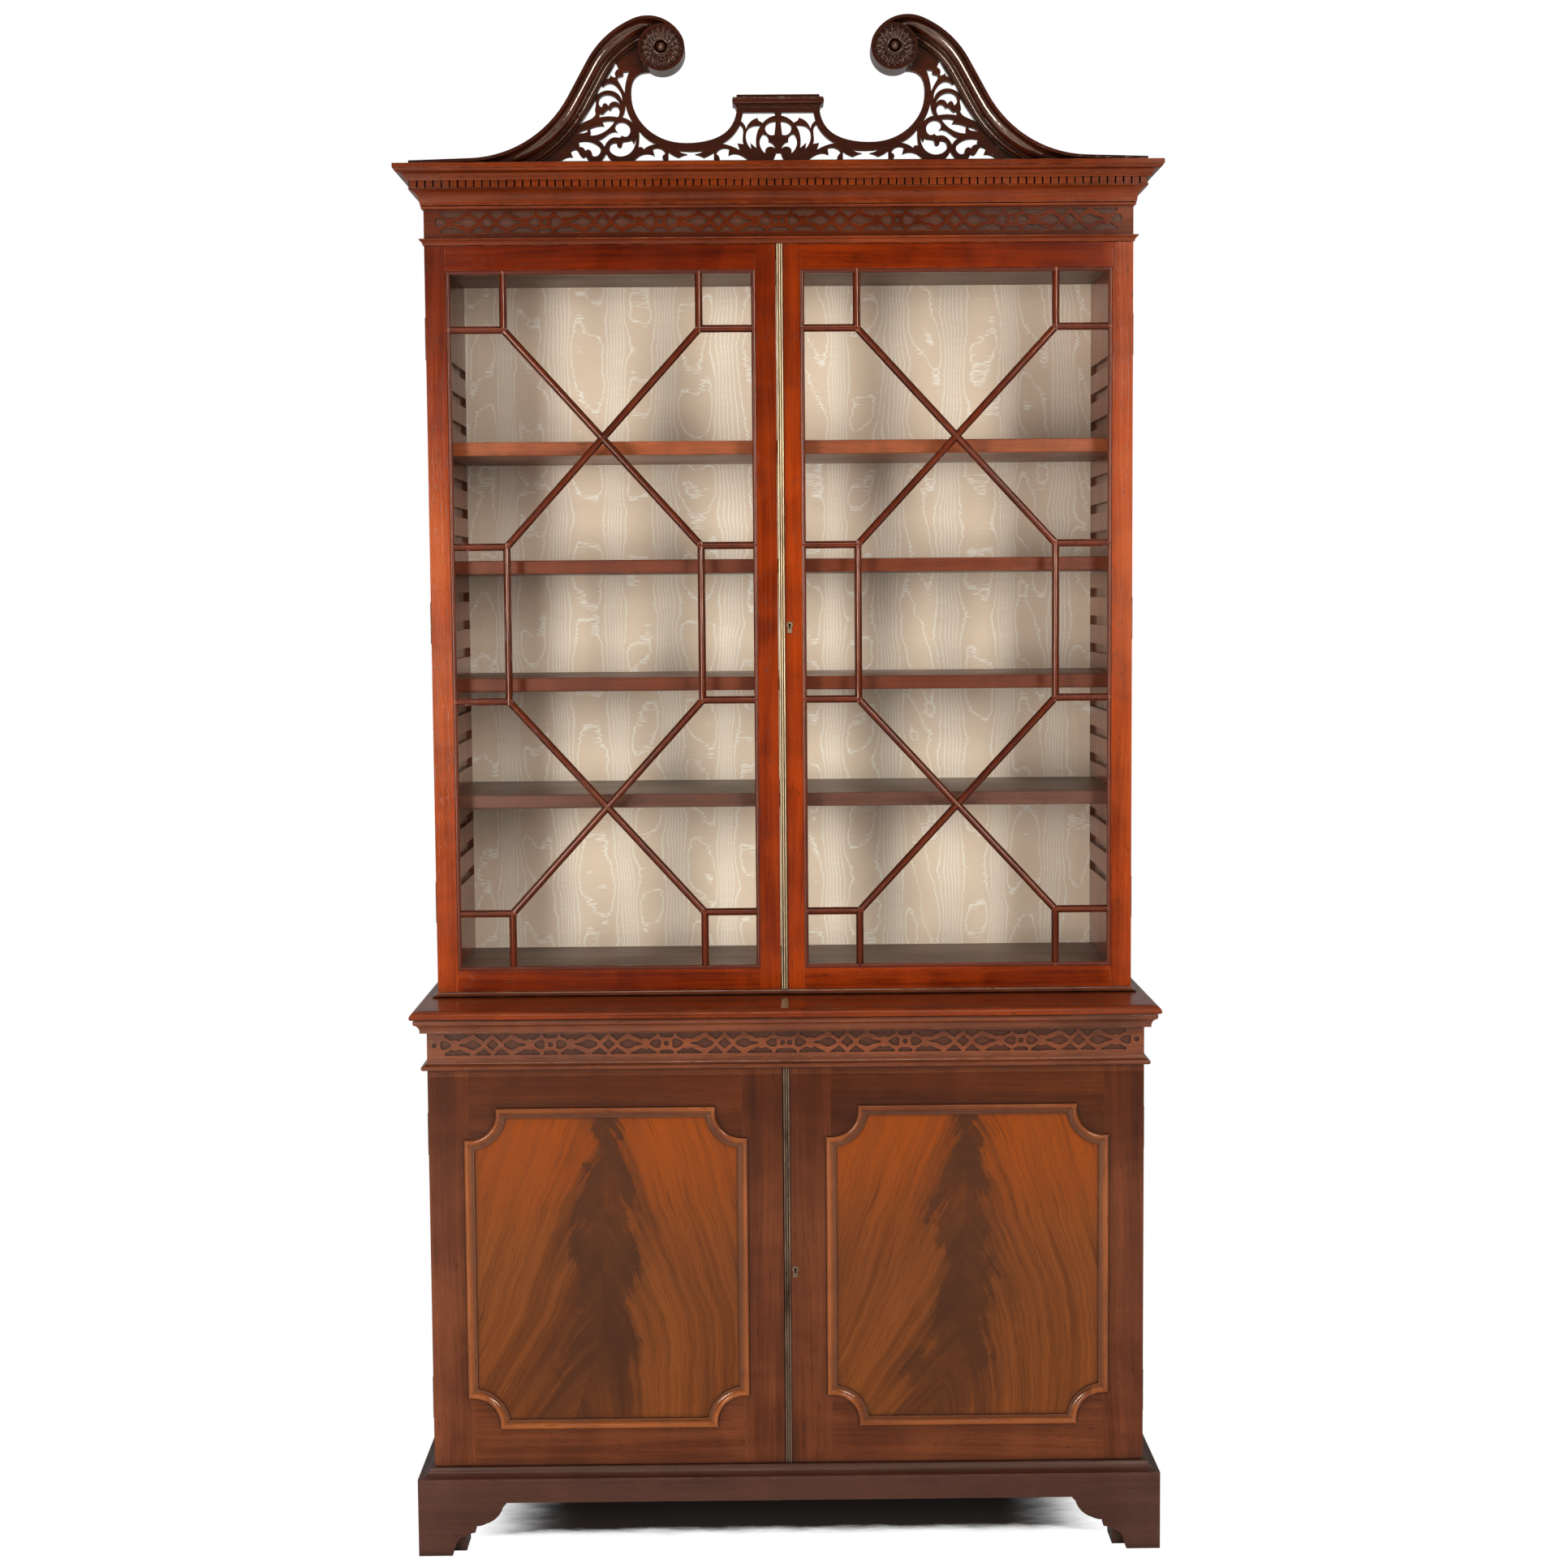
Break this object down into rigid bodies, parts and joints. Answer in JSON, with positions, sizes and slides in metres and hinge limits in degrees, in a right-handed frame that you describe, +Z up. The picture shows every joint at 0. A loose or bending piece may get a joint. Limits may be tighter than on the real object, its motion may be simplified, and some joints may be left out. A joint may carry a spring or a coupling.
{
  "type": "glazed bookcase on cabinet",
  "caption": "Tall mahogany display bookcase with glazed doors above a panelled two-door cupboard, under a pierced swan-neck pediment.",
  "frame": {"origin": "on the floor, under the middle of the box that holds the whole object", "axes": "+Z up; the front with the doors faces -Y; +X is to the right of someone who faces the front"},
  "size_m": [1.264, 0.5326, 2.53],
  "materials": {
    "mahogany": "polished",
    "dark_mahogany": "polished",
    "flame_veneer": "polished",
    "carcass_wood": "matt",
    "silk": "watered silk",
    "glass": "clear",
    "brass": "satin"
  },
  "bodies": {
    "cabinet": {"base_back": "carcass_wood", "base_boards": "carcass_wood", "base_fret": "mahogany", "base_frieze": "mahogany", "base_mouldings": "mahogany", "base_shelf": "carcass_wood", "base_side_left": "mahogany", "base_side_right": "mahogany", "base_top": "mahogany", "cornice_mouldings": "mahogany", "dentils": "mahogany", "dust_board": "carcass_wood", "foot_blocks": "carcass_wood", "frieze_mouldings": "mahogany", "hinges_fixed": "brass", "pediment_cap": "dark_mahogany", "pediment_fret": "dark_mahogany", "plinth_moulding": "mahogany", "rosettes": "dark_mahogany", "shelf_1": "mahogany", "shelf_2": "mahogany", "shelf_3": "mahogany", "shelf_4": "mahogany", "silk_lining": "silk", "skirt_back": "carcass_wood", "skirt_front": "mahogany", "skirt_sides": "mahogany", "swan_necks": "dark_mahogany", "upper_back": "carcass_wood", "upper_bottom": "mahogany", "upper_fret": "mahogany", "upper_frieze": "mahogany", "upper_side_left": "mahogany", "upper_side_right": "mahogany", "upper_top": "mahogany", "waist_moulding": "mahogany"},
    "upper_left_door": {"upper_left_frame": "mahogany", "upper_left_bars": "mahogany", "upper_left_glass": "glass", "upper_left_brasses": "brass"},
    "upper_right_door": {"upper_right_frame": "mahogany", "upper_right_bars": "mahogany", "upper_right_glass": "glass", "upper_astragal": "brass", "upper_right_brasses": "brass"},
    "lower_left_door": {"lower_left_frame": "mahogany", "lower_left_panel": "flame_veneer", "lower_left_moulding": "mahogany", "lower_left_brasses": "brass"},
    "lower_right_door": {"lower_right_frame": "mahogany", "lower_right_panel": "flame_veneer", "lower_right_moulding": "mahogany", "lower_astragal": "brass", "lower_right_brasses": "brass"},
    "upper_left_top_bolt_rod": {"upper_left_top_bolt": "brass"},
    "upper_left_bottom_bolt_rod": {"upper_left_bottom_bolt": "brass"},
    "lower_left_top_bolt_rod": {"lower_left_top_bolt": "brass"},
    "lower_left_bottom_bolt_rod": {"lower_left_bottom_bolt": "brass"},
    "upper_lock_bolt_tongue": {"upper_lock_bolt": "brass"},
    "lower_lock_bolt_tongue": {"lower_lock_bolt": "brass"}
  },
  "joints": [
    {"name": "upper_left_door_swing", "type": "hinge", "parent": "cabinet", "child": "upper_left_door", "pos_m": [-0.5883, -0.0915, 1.5438], "axis": [0, 0, -1], "range_deg": [0, 170]},
    {"name": "upper_right_door_swing", "type": "hinge", "parent": "cabinet", "child": "upper_right_door", "pos_m": [0.5883, -0.0915, 1.5438], "axis": [0, 0, 1], "range_deg": [0, 170]},
    {"name": "lower_left_door_swing", "type": "hinge", "parent": "cabinet", "child": "lower_left_door", "pos_m": [-0.5913, -0.2185, 0.4776], "axis": [0, 0, -1], "range_deg": [0, 170]},
    {"name": "lower_right_door_swing", "type": "hinge", "parent": "cabinet", "child": "lower_right_door", "pos_m": [0.5913, -0.2185, 0.4776], "axis": [0, 0, 1], "range_deg": [0, 170]},
    {"name": "upper_left_top_bolt_slide", "type": "slide", "parent": "upper_left_door", "child": "upper_left_top_bolt_rod", "axis": [0, 0, 1], "range_m": [0, 0.008]},
    {"name": "upper_left_bottom_bolt_slide", "type": "slide", "parent": "upper_left_door", "child": "upper_left_bottom_bolt_rod", "axis": [0, 0, -1], "range_m": [0, 0.008]},
    {"name": "lower_left_top_bolt_slide", "type": "slide", "parent": "lower_left_door", "child": "lower_left_top_bolt_rod", "axis": [0, 0, 1], "range_m": [0, 0.008]},
    {"name": "lower_left_bottom_bolt_slide", "type": "slide", "parent": "lower_left_door", "child": "lower_left_bottom_bolt_rod", "axis": [0, 0, -1], "range_m": [0, 0.008]},
    {"name": "upper_lock_bolt_slide", "type": "slide", "parent": "upper_right_door", "child": "upper_lock_bolt_tongue", "axis": [-1, 0, 0], "range_m": [0, 0.007]},
    {"name": "lower_lock_bolt_slide", "type": "slide", "parent": "lower_right_door", "child": "lower_lock_bolt_tongue", "axis": [-1, 0, 0], "range_m": [0, 0.007]}
  ]
}
